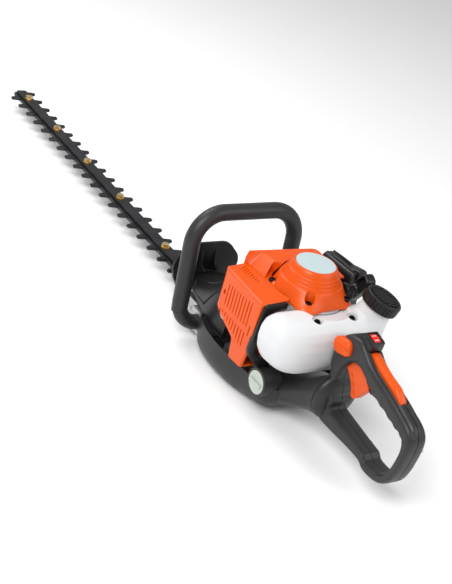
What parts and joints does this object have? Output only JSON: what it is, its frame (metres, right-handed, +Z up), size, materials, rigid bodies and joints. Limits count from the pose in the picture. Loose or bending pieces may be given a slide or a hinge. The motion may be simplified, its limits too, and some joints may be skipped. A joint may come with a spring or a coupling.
{
  "type": "hedge trimmer",
  "caption": "Petrol hedge trimmer: two reciprocating double-sided blades on a guide bar, looped front handle, orange engine covers, rear tank and a D-shaped rear handle that swivels.",
  "frame": {"origin": "on the ground plane, straight below the vertical crankshaft, where the flat underside of the lower housing rests", "axes": "+X forward along the blades, +Y to the machine's left, +Z up"},
  "size_m": [1.214, 0.202, 0.211],
  "materials": {
    "dark_plastic": "fine-textured glass-filled nylon, satin",
    "black_plastic": "satin black moulding",
    "orange_plastic": "semi-gloss orange moulding",
    "red_plastic": "gloss red",
    "tank_plastic": "milky blow-moulded polyethylene",
    "label": "printed foil, pale grey-blue, no lettering",
    "cast_alloy": "as cast",
    "blade_steel": "blackened spring steel, ground bevels",
    "brass": "yellow passivated",
    "steel": "machined",
    "black_steel": "black oxide",
    "rubber": "matt",
    "rope": "braided cord",
    "nylon": "natural nylon",
    "filter_foam": "felt and foam",
    "pale_plug": "pale grey-green"
  },
  "bodies": {
    "machine": {"base_housing": "dark_plastic", "vibration_mounts": "rubber", "front_handle": "dark_plastic", "hand_guard": "black_plastic", "guard_screws": "black_steel", "gear_case": "cast_alloy", "gear_case_lid": "cast_alloy", "gear_bearings": "steel", "case_bolts": "steel", "guide_bar": "blade_steel", "blade_bolts": "steel", "blade_nuts": "brass", "crankcase": "cast_alloy", "main_bearings": "steel", "cylinder": "cast_alloy", "spark_plug": "steel", "spark_plug_cap": "black_plastic", "fan_housing": "cast_alloy", "ignition_coil": "black_plastic", "muffler": "steel", "heat_shield": "black_plastic", "cylinder_cover": "orange_plastic", "cowl": "black_plastic", "carburettor": "cast_alloy", "filter_base": "black_plastic", "air_filter": "filter_foam", "filter_cover": "black_plastic", "starter_housing": "orange_plastic", "label_disc": "label", "recoil_spring": "steel", "rope_guide": "black_plastic", "cover_screws": "black_steel", "fuel_tank": "tank_plastic", "fuel_pickup": "rubber"},
    "upper_blade": {"upper_blade": "blade_steel"},
    "lower_blade": {"lower_blade": "blade_steel"},
    "drive_gear": {"drive_gear": "steel"},
    "clutch_drum": {"clutch_drum": "steel"},
    "crank": {"crankshaft": "steel", "clutch": "steel", "flywheel": "steel"},
    "piston_set": {"piston": "cast_alloy", "wrist_pin": "steel", "connecting_rod": "steel"},
    "starter_pulley": {"starter_pulley": "nylon"},
    "starter_pull": {"starter_rope": "rope", "starter_grip": "black_plastic"},
    "rear_handle": {"rear_handle_left": "dark_plastic", "rear_handle_right": "dark_plastic", "handle_screws": "steel", "switch_box": "black_plastic"},
    "throttle_trigger": {"throttle_trigger": "orange_plastic"},
    "throttle_lock": {"throttle_lock": "orange_plastic"},
    "stop_switch": {"stop_switch": "red_plastic"},
    "swivel_latch": {"swivel_latch": "orange_plastic"},
    "fuel_cap": {"fuel_cap": "black_plastic"},
    "twist_plug": {"twist_plug": "pale_plug"},
    "filter_knob": {"filter_knob": "black_plastic"},
    "choke_lever": {"choke_lever": "black_plastic"},
    "primer_bulb": {"primer_bulb": "rubber"}
  },
  "joints": [
    {"name": "blade_stroke", "type": "slide", "parent": "machine", "child": "upper_blade", "axis": [1, 0, 0], "range_m": [-0.00875, 0.00875]},
    {"name": "blade_counterstroke", "type": "slide", "parent": "machine", "child": "lower_blade", "axis": [1, 0, 0], "range_m": [-0.00875, 0.00875]},
    {"name": "gear_turn", "type": "hinge", "parent": "machine", "child": "drive_gear", "pos_m": [0.054, 0, 0.016], "axis": [0, 0, 1], "range_deg": [-90, 90]},
    {"name": "drum_turn", "type": "hinge", "parent": "machine", "child": "clutch_drum", "pos_m": [0, 0, 0.016], "axis": [0, 0, 1], "range_deg": [-450, 450]},
    {"name": "crank_turn", "type": "hinge", "parent": "machine", "child": "crank", "pos_m": [0, 0, 0.098], "axis": [0, 0, 1], "range_deg": [-45, 45]},
    {"name": "piston_slide", "type": "slide", "parent": "machine", "child": "piston_set", "axis": [1, 0, 0], "range_m": [-0.0085, 0.0085]},
    {"name": "starter_pull", "type": "slide", "parent": "machine", "child": "starter_pull", "axis": [0, -1, 0], "range_m": [0, 0.045]},
    {"name": "pulley_turn", "type": "hinge", "parent": "machine", "child": "starter_pulley", "pos_m": [0, 0, 0.18], "axis": [0, 0, -1], "range_deg": [0, 121]},
    {"name": "handle_swivel", "type": "hinge", "parent": "machine", "child": "rear_handle", "pos_m": [-0.111, 0, 0.074], "axis": [1, 0, 0], "range_deg": [-90, 90]},
    {"name": "trigger_squeeze", "type": "hinge", "parent": "rear_handle", "child": "throttle_trigger", "pos_m": [-0.137, 0, 0.158], "axis": [0, 1, 0], "range_deg": [0, 14], "stiffness_Nm_per_rad": 0.3},
    {"name": "lock_press", "type": "hinge", "parent": "rear_handle", "child": "throttle_lock", "pos_m": [-0.153, 0, 0.164], "axis": [0, -1, 0], "range_deg": [0, 3.5], "stiffness_Nm_per_rad": 0.3},
    {"name": "stop_rocker", "type": "hinge", "parent": "rear_handle", "child": "stop_switch", "pos_m": [-0.148, 0, 0.1855], "axis": [0, 1, 0], "range_deg": [-8, 8]},
    {"name": "latch_press", "type": "slide", "parent": "rear_handle", "child": "swivel_latch", "axis": [0, -1, 0], "range_m": [0, 0.0025], "stiffness_N_per_m": 300},
    {"name": "cap_turn", "type": "hinge", "parent": "machine", "child": "fuel_cap", "pos_m": [-0.066, -0.074, 0.176], "axis": [-0.1523, -0.2665, 0.9517], "range_deg": [0, 270]},
    {"name": "plug_turn", "type": "hinge", "parent": "machine", "child": "twist_plug", "pos_m": [-0.035, 0.066, 0.05], "axis": [0, 1, 0], "range_deg": [0, 90]},
    {"name": "knob_turn", "type": "hinge", "parent": "machine", "child": "filter_knob", "pos_m": [0.036, -0.098, 0.129], "axis": [0, -1, 0], "range_deg": [0, 270]},
    {"name": "choke_turn", "type": "hinge", "parent": "machine", "child": "choke_lever", "pos_m": [0.01, -0.058, 0.15], "axis": [0, -1, 0], "range_deg": [0, 60]},
    {"name": "primer_press", "type": "slide", "parent": "machine", "child": "primer_bulb", "axis": [0, 0, -1], "range_m": [0, 0.003], "stiffness_N_per_m": 400}
  ],
  "couplings": [
    {"joint": "blade_counterstroke", "follows": "blade_stroke", "ratio": -1},
    {"joint": "gear_turn", "follows": "blade_stroke", "rad_per_m": -179.52},
    {"joint": "drum_turn", "follows": "blade_stroke", "rad_per_m": 897.6},
    {"joint": "piston_slide", "follows": "crank_turn", "m_per_rad": -0.010823},
    {"joint": "pulley_turn", "follows": "starter_pull", "rad_per_m": 46.512}
  ]
}
